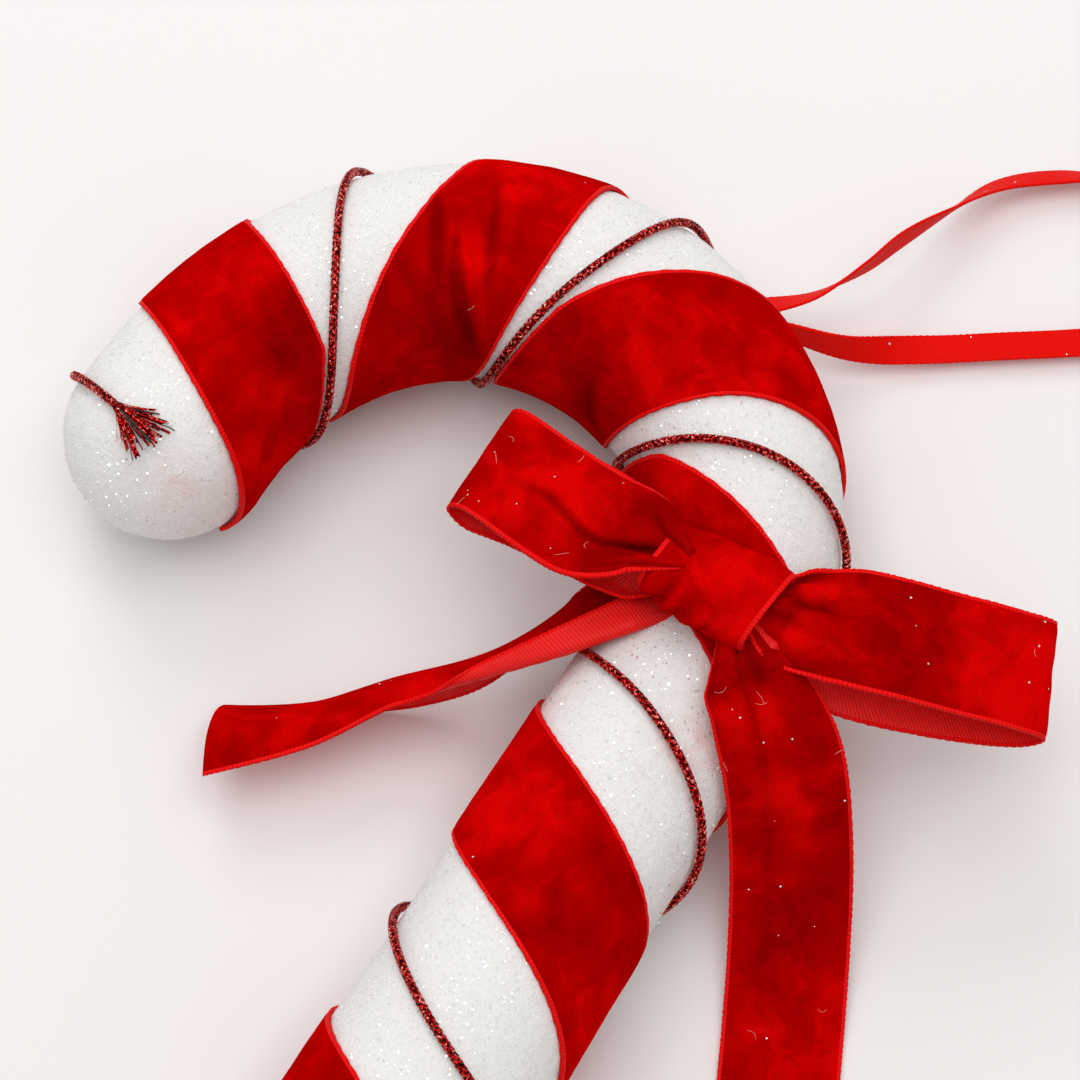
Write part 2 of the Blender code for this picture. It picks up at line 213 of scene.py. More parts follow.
def mesh_object(name, points, faces, materials, slots=None, attributes=None, smooth_shade=True):
    """An object from points in mm and an array of faces with the same number of corners."""
    mesh = bpy.data.meshes.new(name)
    points = np.asarray(points, float).reshape(-1, 3) * MM
    faces = np.asarray(faces, int)
    corners = faces.shape[1]
    mesh.vertices.add(len(points))
    mesh.vertices.foreach_set("co", points.ravel())
    mesh.loops.add(faces.size)
    mesh.loops.foreach_set("vertex_index", faces.ravel())
    mesh.polygons.add(len(faces))
    mesh.polygons.foreach_set("loop_start", np.arange(0, faces.size, corners))
    if slots is not None:
        mesh.polygons.foreach_set("material_index", np.asarray(slots, int))
    mesh.update(calc_edges=True)
    mesh.validate()
    for key, values in (attributes or {}).items():
        layer = mesh.attributes.new(key, "FLOAT", "POINT")
        layer.data.foreach_set("value", np.asarray(values, float).ravel())
    for material in materials:
        mesh.materials.append(material)
    if smooth_shade:
        mesh.shade_smooth()
    shown = bpy.data.objects.new(name, mesh)
    bpy.context.scene.collection.objects.link(shown)
    return shown


def grid_faces(rows, columns, start=0, closed=False):
    i, j = np.meshgrid(np.arange(rows - 1), np.arange(columns if closed else columns - 1), indexing="ij")
    k = (j + 1) % columns
    quad = np.stack([i * columns + j, (i + 1) * columns + j, (i + 1) * columns + k, i * columns + k], -1)
    return quad.reshape(-1, 4) + start


def material(name, colour, roughness, metallic=0.0, **sockets):
    made = bpy.data.materials.new(name)
    made.use_nodes = True
    principled = made.node_tree.nodes["Principled BSDF"]
    principled.inputs["Base Color"].default_value = (*colour, 1)
    principled.inputs["Roughness"].default_value = roughness
    principled.inputs["Metallic"].default_value = metallic
    for key, value in sockets.items():
        principled.inputs[key.replace("_", " ")].default_value = value
    return made


class Nodes:
    """Short ways to add and link the nodes of a material."""

    def __init__(self, made):
        self.tree = made.node_tree
        self.shader = self.tree.nodes["Principled BSDF"]

    def add(self, kind, **inputs):
        node = self.tree.nodes.new(kind)
        for key, value in inputs.items():
            socket = node.inputs[int(key[1:])] if key[0] == "i" and key[1:].isdigit() else node.inputs[key]
            self.put(value, socket)
        return node

    def put(self, value, socket):
        if isinstance(value, bpy.types.NodeSocket):
            self.tree.links.new(value, socket)
        else:
            socket.default_value = value

    def math(self, operation, a, b=0.0):
        node = self.tree.nodes.new("ShaderNodeMath")
        node.operation = operation
        self.put(a, node.inputs[0])
        self.put(b, node.inputs[1])
        return node.outputs[0]

    def attribute(self, name):
        node = self.tree.nodes.new("ShaderNodeAttribute")
        node.attribute_name = name
        return node.outputs["Fac"]

    def noise(self, size_mm, detail=3.0, roughness=0.55, distortion=0.0):
        place = self.tree.nodes.new("ShaderNodeTexCoord").outputs["Object"]
        node = self.add("ShaderNodeTexNoise", Vector=place, Scale=1 / (size_mm * MM), Detail=detail)
        node.inputs["Roughness"].default_value = roughness
        node.inputs["Distortion"].default_value = distortion
        return node.outputs["Fac"]

    def ramp(self, value, *stops):
        node = self.tree.nodes.new("ShaderNodeValToRGB")
        self.put(value, node.inputs[0])
        elements = node.color_ramp.elements
        while len(elements) < len(stops):
            elements.new(0.5)
        for element, (position, colour) in zip(elements, stops):
            element.position = position
            element.color = (*colour, 1) if isinstance(colour, tuple) else (colour, colour, colour, 1)
        return node.outputs[0]

    def bump(self, height, distance_mm, strength=1.0):
        node = self.add("ShaderNodeBump", Height=height, Strength=strength, Distance=distance_mm * MM)
        self.tree.links.new(node.outputs["Normal"], self.shader.inputs["Normal"])


def foam_material():
    made = material("glittered_foam", (0.9, 0.9, 0.885), 0.62, Subsurface_Weight=0.2, Subsurface_Scale=0.004)
    made.node_tree.nodes["Principled BSDF"].inputs["Subsurface Radius"].default_value = (1.0, 0.9, 0.8)
    n = Nodes(made)
    grain = n.noise(0.9, 4.0, 0.7)
    # A pink tint, from the attribute set on the rod, mixed into the foam's colour.
    pink_tint = n.attribute("pink_tint")
    tint = n.ramp(grain, (0.30, (0.82, 0.82, 0.80)), (0.5, (0.925, 0.922, 0.90)), (0.7, (0.965, 0.96, 0.94)))
    mixed = n.tree.nodes.new("ShaderNodeMix")
    mixed.data_type = "RGBA"
    n.put(pink_tint, mixed.inputs["Factor"])
    n.put(tint, mixed.inputs["A"])
    n.put((0.86, 0.50, 0.48, 1), mixed.inputs["B"])
    n.put(mixed.outputs["Result"], n.shader.inputs["Base Color"])
    n.put(n.ramp(grain, (0.35, 0.75), (0.7, 0.42)), n.shader.inputs["Roughness"])
    n.bump(n.noise(0.55, 5.0, 0.75), 0.5, 0.9)
    return made


def velvet_material():
    made = material(
        "velvet",
        (0.4, 0.0, 0.0),
        0.95,
        Specular_IOR_Level=0.0,
        Sheen_Weight=0.4,
        Sheen_Roughness=0.45,
        Sheen_Tint=(1, 0, 0, 1),
    )
    n = Nodes(made)
    broad = n.math(
        "ADD",
        n.math("MULTIPLY", n.noise(30.0, 2.0), 0.55),
        n.math("MULTIPLY", n.noise(9.0, 4.0, 0.6, 0.5), 0.45),
    )
    patches = n.ramp(broad, (0.36, (0.26, 0.0, 0.0)), (0.5, (0.42, 0.0, 0.0)), (0.62, (0.68, 0.001, 0.001)))
    pile = n.ramp(n.noise(0.35, 3.0, 0.7), (0.3, 0.82), (0.7, 1.12))
    # Painted shade: the 'shade' attribute darkens the velvet's colour in creases, folds and near the knot, and lightens
    # it as a painted highlight where it is below zero.
    light = n.math("SUBTRACT", 1.0, n.attribute("shade"))
    pile = n.math("MULTIPLY", pile, light)
    mixed = n.tree.nodes.new("ShaderNodeMix")
    mixed.data_type = "RGBA"
    mixed.blend_type = "MULTIPLY"
    mixed.inputs["Factor"].default_value = 1.0
    n.put(patches, mixed.inputs["A"])
    n.put(pile, mixed.inputs["B"])
    n.put(mixed.outputs["Result"], n.shader.inputs["Base Color"])
    n.bump(n.noise(0.3, 4.0, 0.75), 0.25, 0.7)
    return made


def ribbed(made, period_mm, depth_mm, dark, bright, slant=0.0):
    """Fine woven ribs across a ribbon."""
    n = Nodes(made)
    along = n.attribute("along")
    if slant:
        along = n.math("ADD", along, n.math("MULTIPLY", n.attribute("across"), slant))
    wave = n.math("SINE", n.math("MULTIPLY", along, 2 * math.pi / period_mm))
    rib = n.math("ADD", n.math("MULTIPLY", wave, 0.35), n.noise(0.3, 2.0))
    n.put(n.ramp(rib, (0.15, dark), (0.85, bright)), n.shader.inputs["Base Color"])
    n.bump(rib, depth_mm)
    return made


def edge_material():
    made = material(
        "selvedge", (0.75, 0.01, 0.01), 0.6,
        Specular_IOR_Level=0.08, Sheen_Weight=0.15, Sheen_Tint=(1, 0.02, 0.02, 1),
    )
    return ribbed(made, 0.85, 0.09, (0.62, 0.0, 0.0), (0.84, 0.004, 0.004))


def satin_material():
    made = material(
        "satin_back", (0.8, 0.03, 0.03), 0.42,
        Specular_IOR_Level=0.2, Sheen_Weight=0.1, Sheen_Tint=(1, 0.1, 0.1, 1),
    )
    return ribbed(made, 0.75, 0.12, (0.66, 0.003, 0.003), (0.90, 0.012, 0.010), 0.5)


def hanger_material():
    made = material(
        "hanging_satin", (0.8, 0.02, 0.01), 0.55,
        Specular_IOR_Level=0.05, Sheen_Weight=0.1, Sheen_Tint=(1, 0.05, 0.02, 1),
    )
    return ribbed(made, 0.5, 0.08, (0.66, 0.002, 0.0005), (0.84, 0.004, 0.001), 0.3)


def foil_material():
    made = material("metallic_strand", (0.5, 0.01, 0.01), 0.22, 1.0)
    n = Nodes(made)
    glints = (
        (0.43, (0.02, 0.0, 0.0)),
        (0.48, (0.45, 0.002, 0.002)),
        (0.56, (0.85, 0.012, 0.012)),
        (0.66, (1.0, 0.6, 0.5)),
    )
    n.put(n.ramp(n.noise(0.7, 3.0, 0.7), *glints), n.shader.inputs["Base Color"])
    n.bump(n.noise(0.3, 2.0), 0.12)
    return made


FOAM = foam_material()
VELVET = velvet_material()
EDGE = edge_material()
SATIN = satin_material()
HANGER = hanger_material()
FLAKE = material("glitter_flake", (1.0, 1.0, 1.0), 0.15, 0.55)
FOIL = foil_material()
FOIL_DARK = material("dark_strand", (0.06, 0.004, 0.004), 0.45, 0.4)
BLACK_THREAD = material("black_thread", (0.02, 0.02, 0.018), 0.6)
LINT = material("lint", (0.9, 0.55, 0.5), 0.6)


def finish_piece(piece, slot, *nodes):
    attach(piece, "root")
    if nodes:
        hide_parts(*nodes)


# ---- ribbons --------------------------------------------------------------------------------------------


CLOTH = []  # (points, normals) of each ribbon, for what is caught on it


def across_stations(width, fine=1.3, interior=0.9):
    """Places across a ribbon in mm: close together in the woven edges."""
    edge = np.linspace(0, fine, 6)
    count = max(2, round((width - 2 * fine) / interior))
    return np.concatenate([edge, np.linspace(fine, width - fine, count + 1)[1:-1], width - edge[::-1]])


def ribbon_object(
    name, grid, across, thickness, velvet_side, materials, selvedge=0.9, centred=True, shade=None
):
    """A closed ribbon: a pile face, a woven back, and raised, scalloped woven edges.

    grid is rows of points and across their places over the width in mm. velvet_side is 1 where the pile is on the
    side of the grid's normals. centred puts the grid in the middle of the thickness; otherwise it is the back.
    """
    rows, columns = grid.shape[:2]
    width = across[-1]
    normal = normals_of(grid) * velvet_side
    step = np.linalg.norm(np.diff(grid, axis=0), axis=-1).mean(axis=1)
    along = np.concatenate([[0], np.cumsum(step)])
    to_edge = np.minimum(across, width - across)
    in_edge = np.clip(1 - np.abs(to_edge - selvedge * 0.5) / (selvedge * 0.62), 0, 1)
    outward = unit(np.gradient(grid, axis=1)) * np.where(across < width / 2, -1, 1)[None, :, None]
    picot = 0.09 * np.sin(2 * np.pi * along / 1.5)[:, None] * np.clip(1 - to_edge / 0.5, 0, 1)[None, :]
    grid = grid + outward * picot[..., None]
    pile = 0.16 * np.clip((to_edge - selvedge) / 0.5, 0, 1)
    bead = 0.10 * np.sqrt(in_edge)
    half = thickness / 2 if centred else thickness
    top = grid + normal * (half - 0.16 + pile + bead)[None, :, None]
    low = grid - normal * ((thickness / 2 if centred else 0.0) + 0 * bead)[None, :, None]
    points = np.concatenate([top.reshape(-1, 3), low.reshape(-1, 3)])
    count = rows * columns
    faces_top = grid_faces(rows, columns)
    faces_low = faces_top[:, ::-1] + count
    if velvet_side < 0:
        faces_top, faces_low = faces_top[:, ::-1], faces_low[:, ::-1]
    j = np.tile(np.arange(columns - 1), rows - 1)
    mid = (to_edge[j] + to_edge[j + 1]) / 2
    slots_top = np.where(mid < selvedge, 2, 0)
    slots_low = np.where(mid < selvedge, 2, 1)
    ids = np.arange(count).reshape(rows, columns)
    rim = np.concatenate([ids[:, 0], ids[-1, 1:], ids[-2::-1, -1], ids[0, -2:0:-1]])
    after = np.roll(rim, -1)
    side = np.stack([rim, after, after + count, rim + count], -1)
    if velvet_side > 0:
        side = side[:, ::-1]
    faces = np.concatenate([faces_top, faces_low, side])
    slots = np.concatenate([slots_top, slots_low, np.full(len(side), 2)])
    # The 'shade' attribute is painted shade for the velvet's colour, and painted highlight where it is below zero.
    attributes = {
        "along": np.tile(np.repeat(along, columns), 2),
        "across": np.tile(np.tile(across, rows), 2),
        "shade": np.tile(np.zeros(count) if shade is None else np.broadcast_to(shade, (rows, columns)).ravel(), 2),
    }
    CLOTH.append((top, normal))
    return mesh_object(name, points, faces, materials, slots, attributes)


def ribbon_rows(route, side_angle, width, rows, across, lean, anchor=lambda t: 0.5, skew=0.0, over=1):
    """Rows of points of a ribbon of fixed width that follows a route from the rod's frame.

    side_angle(t) is the heading in degrees of its side direction, lean(t, v) the angle by which it leans up at share
    v of its width, and anchor(t) the share of the width that lies on the route.
    """
    fine = np.linspace(0, 1, 241)
    mid = (fine[1:] + fine[:-1]) / 2
    shares = across / width
    grid = np.zeros((rows, len(across), 3))
    for i, t0 in enumerate(np.linspace(0, 1, rows)):
        ends = t0 * (1 - skew * shares)
        samples = np.linspace(min(ends.min(), t0), max(ends.max(), t0), 4) if skew else np.array([t0])
        places = []
        for t in samples:
            step = 1e-3
            here = smooth(route, t)
            forward = unit(smooth(route, min(t + step, 1)) - smooth(route, max(t - step, 0)))
            angle = math.radians(side_angle(t))
            side = np.array([math.cos(angle), math.sin(angle), 0.0])
            up = unit(np.cross(forward, side) * over)
            angles = lean(t, mid)
            a = np.interp(anchor(t), fine, np.arange(len(fine)))
            c = np.concatenate([[0], np.cumsum(np.cos(angles))]) * width / (len(fine) - 1)
            u = np.concatenate([[0], np.cumsum(np.sin(angles))]) * width / (len(fine) - 1)
            c -= np.interp(a, np.arange(len(fine)), c)
            u -= np.interp(a, np.arange(len(fine)), u)
            cs, us = np.interp(shares, fine, c), np.interp(shares, fine, u)
            places.append(here + side * cs[:, None] + up * us[:, None])
        places = np.array(places)
        if len(samples) == 1:
            grid[i] = places[0]
        else:
            for j in range(len(across)):
                grid[i, j] = [np.interp(ends[j], samples, places[:, j, k]) for k in range(3)]
    return grid + np.array([*HOOK_START, 0.0])


def gathered(near, strength, pleats):
    def lean(t, v):
        closeness = max(1 - t / near, 1 - (1 - t) / near, 0.0)
        return strength * closeness**1.4 * np.sin(2 * np.pi * pleats * (v - 0.5))

    return lean


def tucked(grid, heart, share, at_end=False, rows=16):
    """The ribbon with its start, or its end too, drawn into the knot towards a point."""
    def inside(row):
        return np.array([*(np.array(heart) + HOOK_START), row[:, 2].mean()]) - row

    steps = (np.linspace(0, 1, rows + 1)[1:] ** 0.9)[::-1, None, None] * share
    parts = [grid[0] + inside(grid[0]) * steps, grid]
    if at_end:  # the end goes in the same way
        parts.append(grid[-1] + inside(grid[-1]) * steps[::-1])
    return np.concatenate(parts)


def turned_side(at_knot, at_tip, near):
    return lambda t: at_knot + (at_tip - at_knot) * min(1.0, t / near, (1 - t) / near)


def hill(x, centre, half_width):
    """A smooth hump, 1 at the centre."""
    return np.exp(-(((x - centre) / half_width) ** 2))


# ---- the cane -------------------------------------------------------------------------------------------


def make_core():
    """The foam rod with its grain, small dents and a pink tint in places, and the glitter stuck on it."""
    shaft = np.linspace(-SHAFT_LENGTH, HOOK_LENGTH, 560)
    cap = np.sin(np.linspace(0, np.pi / 2, 34)[1:])
    low = -SHAFT_LENGTH - cap[::-1] * ROD_RADIUS[0][1]
    high = HOOK_LENGTH + cap * ROD_RADIUS[-1][1]
    s = np.concatenate([low, shaft, high])
    sides = 176
    theta = np.arange(sides) / sides * 2 * np.pi
    base = on_rod(s[:, None], theta[None, :])
    outward = unit(on_rod(s[:, None], theta[None, :], 1.0) - base + 1e-9)
    grain = noise_at(base, 1.7, 1, 3) * 0.14 + noise_at(base, 9.0, 2, 2) * 0.16
    turn = theta[None, :] / (2 * np.pi)
    neck = hill(s[:, None], -24.0, 9.0) * hill(turn, 0.17, 0.07) + (
        0.7 * hill(s[:, None], -14.0, 7.0) * hill(turn, 0.05, 0.05)
    )
    points = base + outward * (grain - 0.9 * neck)[..., None]
    # Pink tint on the foam just below the bow and on the hook's end cap.
    pink_tint = 0.55 * hill(s[:, None], -16.0, 6.0) * hill(turn, 0.43, 0.05)
    pink_tint = pink_tint + 0.55 * hill(s[:, None], -13.0, 6.0) * hill(turn, 0.16, 0.06)
    pink_tint = pink_tint + 0.35 * hill(s[:, None], 222.0, 5.0) * hill(turn, 0.36, 0.06)
    pink_tint = np.clip(pink_tint * (0.7 + 0.9 * noise_at(base, 5.0, 5, 2)), 0, 1)
    faces = grid_faces(len(s), sides, closed=True)[:, ::-1]
    core = mesh_object("foam_rod", points, faces, [FOAM], None, {"pink_tint": pink_tint})
    finish_piece(core, "foam", "cane_core")
    return s, theta, points


def scatter_flakes(name, centres, normals, sizes, tilt, made):
    """Small square flakes lying on a surface, each tilted its own way."""
    count = len(centres)
    normals = unit(normals + RNG.normal(0, tilt, (count, 3)))
    other = unit(RNG.normal(size=(count, 3)))
    a = unit(np.cross(normals, other))
    b = np.cross(normals, a)
    half = sizes[:, None] / 2
    corners = [centres + half * (a * math.cos(t) + b * math.sin(t)) for t in np.arange(6) * np.pi / 3]
    points = np.stack(corners, 1).reshape(-1, 3)
    faces = np.arange(count * 6).reshape(count, 6)
    return mesh_object(name, points, faces, [made], smooth_shade=False)


def make_glitter(count=15000):
    """Glitter flakes all over the foam."""
    s = RNG.uniform(-SHAFT_LENGTH - 23.5, HOOK_LENGTH + 22.0, count)
    theta = RNG.uniform(0, 2 * np.pi, count)
    sizes = RNG.uniform(0.22, 0.55, count) * np.where(RNG.random(count) < 0.06, 1.5, 1.0)
    where = on_rod(s, theta, 0.12 + 0 * s)
    normal = unit(on_rod(s, theta, 1.0) - on_rod(s, theta, 0.0) + 1e-9)
    flakes = scatter_flakes("glitter", where + normal * 0.06, normal, sizes, 0.22, FLAKE)
    finish_piece(flakes, "foam")


# Creases in the wound ribbon: height, turn, length in turns, slant, place across and width.
WRAP_CREASES = (
    (1.3, 3.31, 0.05, 7.0, 0.10, 0.16),
    (1.1, 3.28, 0.05, 6.0, 0.60, 0.14),
    (0.9, 3.35, 0.045, 8.0, -0.35, 0.15),
    (0.8, 3.24, 0.05, 5.0, -0.05, 0.13),
    (0.7, 2.42, 0.04, 6.0, -0.45, 0.2),
    (0.6, 1.30, 0.05, 5.0, 0.2, 0.2),
)
# Painted shade on the wound ribbon's velvet, and painted highlight where the depth is below zero: depth, turn, length
# in turns, place across and width.
WRAP_SHADES = (
    (0.45, 2.44, 0.05, -0.5, 0.6),
    (0.30, 3.40, 0.05, -0.4, 0.6),
    (0.22, 1.25, 0.08, 0.0, 0.8),
    (-0.22, 4.22, 0.07, 0.5, 0.5),
    (-0.25, 2.13, 0.05, 0.1, 0.4),
    (0.18, 4.33, 0.05, -0.2, 0.5),
)


def make_wrap():
    """The wide velvet ribbon wound on the rod."""
    first, last = WRAP_TURNS
    turns = np.linspace(first, last, round((last - first) * 150))
    across = across_stations(WRAP_WIDTH)
    side = 2 * across / WRAP_WIDTH - 1
    grid = np.zeros((len(turns), len(across), 3))
    shade = np.zeros((len(turns), len(across)))
    for j, v in enumerate(side):
        s1, t1 = wrap_edge(turns, 1 if v > 0 else -1)
        s = wrap_line(turns) + abs(v) * (s1 - wrap_line(turns))
        t = turns + abs(v) * (t1 - turns)
        near = np.maximum(np.abs(s - (HOOK_LENGTH - SHAFT_LENGTH) / 2) - (HOOK_LENGTH + SHAFT_LENGTH) / 2 + 12, 0)
        lift = WRAP_GAP + np.minimum(near * 0.04, 0.5)
        crease = sum(h * hill(turns, at, long) * hill(v + slant * (turns - at), where, wide)
                     for h, at, long, slant, where, wide in WRAP_CREASES)
        # Painted shade on one slope of each crease and painted highlight on the other, plus the listed painted shade
        # and highlights.
        shade[:, j] = np.clip(-0.9 * np.gradient(crease, turns) / 60, -0.25, 0.4) + sum(
            d * hill(turns, at, long) * hill(v, where, wide) for d, at, long, where, wide in WRAP_SHADES
        )
        grid[:, j] = on_rod(s, 2 * np.pi * t, lift - 0.25 + crease)
    grid = grid + 0.12 * noise_at(grid, 7.0, 11, 2)[..., None] * normals_of(grid)
    wrap = ribbon_object(
        "velvet_spiral", grid, across, WRAP_THICKNESS, -1, [VELVET, SATIN, EDGE], 0.7, False, shade
    )
    finish_piece(wrap, "velvet", "velvet_wrap")


def cord_frames(step):
    """Points along the cord's middle, and the directions out from the rod and across the cord."""
    first, last = CORD_TURNS
    turns = np.linspace(first, last, 6000)
    centre = on_rod(cord_line(turns), 2 * np.pi * turns, WRAP_GAP + CORD_DIAMETER / 2)
    along = np.concatenate([[0], np.cumsum(np.linalg.norm(np.diff(centre, axis=0), axis=-1))])
    at = np.arange(0, along[-1], step)
    t = np.interp(at, along, turns)
    centre = on_rod(cord_line(t), 2 * np.pi * t, WRAP_GAP + CORD_DIAMETER / 2)
    foot = on_rod(cord_line(t), 2 * np.pi * t, 0.0)
    forward = unit(np.gradient(centre, axis=0))
    out = centre - foot
    out = unit(out - forward * (out * forward).sum(-1, keepdims=True))
    return at, centre, forward, out, np.cross(forward, out)


def tube_points(centre, first, second, radius, sides):
    angle = np.arange(sides) / sides * 2 * np.pi
    ring = np.cos(angle)[None, :, None] * first[:, None] + np.sin(angle)[None, :, None] * second[:, None]
    return centre[:, None] + ring * np.broadcast_to(radius, (len(centre),))[:, None, None]


def swept(centre, wide, thick, half_width, half_thickness):
    """A flat strand: a four-sided tube along its centre."""
    w = wide * np.broadcast_to(half_width, (len(centre),))[:, None]
    h = thick * np.broadcast_to(half_thickness, (len(centre),))[:, None]
    return np.stack([centre + w, centre + h, centre - w, centre - h], 1)


def tubes_object(name, tubes, materials, slots):
    """Several tubes of rings joined in one mesh, with closed ends."""
    points, faces, indices, start = [], [], [], 0
    for rings, slot in zip(tubes, slots):
        rows, sides = rings.shape[:2]
        points.append(rings.reshape(-1, 3))
        quads = grid_faces(rows, sides, start, closed=True)
        ends = []
        if sides == 4:
            last = start + (rows - 1) * sides
            ends = [[start, start + 1, start + 2, start + 3], [last + 3, last + 2, last + 1, last]]
        block = np.concatenate([quads, np.array(ends, int).reshape(-1, 4)])
        faces.append(block)
        indices.append(np.full(len(block), slot))
        start += rows * sides
    points, faces, indices = (np.concatenate(part) for part in (points, faces, indices))
    return mesh_object(name, points, faces, materials, indices)


def make_cord():
    """The metallic cord: a dark core in a braid of eight flat foil strands, with frayed ends."""
    strands, pitch, radius = 4, 5.8, CORD_DIAMETER / 2 - 0.2
    at, centre, forward, out, sideways = cord_frames(pitch / strands / 4)
    tubes, slots = [], []
    tubes.append(tube_points(centre[::2], out[::2], sideways[::2], radius - 0.22, 6))
    slots.append(1)
    slope = 2 * math.pi * radius / pitch
    weave = 0.11 * np.cos(2 * np.pi * strands * at / pitch)
    jitter = 1 + 0.25 * np.interp(at, np.linspace(0, at[-1], 900), RNG.normal(0, 0.5, 900))
    for hand in (1, -1):
        for k in range(strands):
            angle = hand * 2 * np.pi * (at / pitch + k / strands)
            radial = out * np.cos(angle)[:, None] + sideways * np.sin(angle)[:, None]
            around = (-out * np.sin(angle)[:, None] + sideways * np.cos(angle)[:, None]) * hand
            wide = unit(around - forward * slope)
            place = centre + radial * (radius + hand * weave)[:, None]
            tubes.append(swept(place, wide, radial, 0.31 * jitter, 0.10))
            slots.append(0)
    cord = tubes_object("braided_cord", tubes, [FOIL, FOIL_DARK], slots)
    finish_piece(cord, "cord", "cord_wrap")
    make_fray("frayed_end", centre[-1], forward[-1], out[-1], sideways[-1], 60)
    make_fray("frayed_start", centre[0], -forward[0], out[0], sideways[0], 24)


def make_fray(name, tip, forward, out, sideways, count):
    """Loose foil strands and dark threads that fan out from the end of the cord and lie on the foam."""
    tubes, slots = [], []
    for _ in range(count):
        spread = RNG.uniform(-1, 1)
        length = RNG.uniform(6.0, 12.5)
        t = np.linspace(0, 1, 9)
        crimp = RNG.normal(0, 0.25, (9, 1)) * t[:, None]
        path = (
            tip
            - forward * 1.5
            + forward * (t * length)[:, None]
            + sideways * (0.8 * spread * (1 - t) + spread * 5.6 * t**1.3)[:, None]
            + out * (RNG.uniform(-0.5, 0.8) * (1 - t) + (RNG.uniform(-1.1, 0.9) - 0.10 * length * t) * t)[:, None]
            + (sideways + out) * crimp * 0.6
        )
        dark = RNG.random() < 0.4
        half = 0.28 if dark else RNG.uniform(0.16, 0.38)
        turn = RNG.uniform(0, np.pi) + t * RNG.uniform(-2, 2)
        wide = sideways * np.cos(turn)[:, None] + out * np.sin(turn)[:, None]
        thick = -sideways * np.sin(turn)[:, None] + out * np.cos(turn)[:, None]
        tubes.append(swept(path, wide, thick, half, 0.14 if dark else 0.05))
        slots.append(1 if dark else 0)
    finish_piece(tubes_object(name, tubes, [FOIL, BLACK_THREAD], slots), "cord")


# ---- the bow --------------------------------------------------------------------------------------------


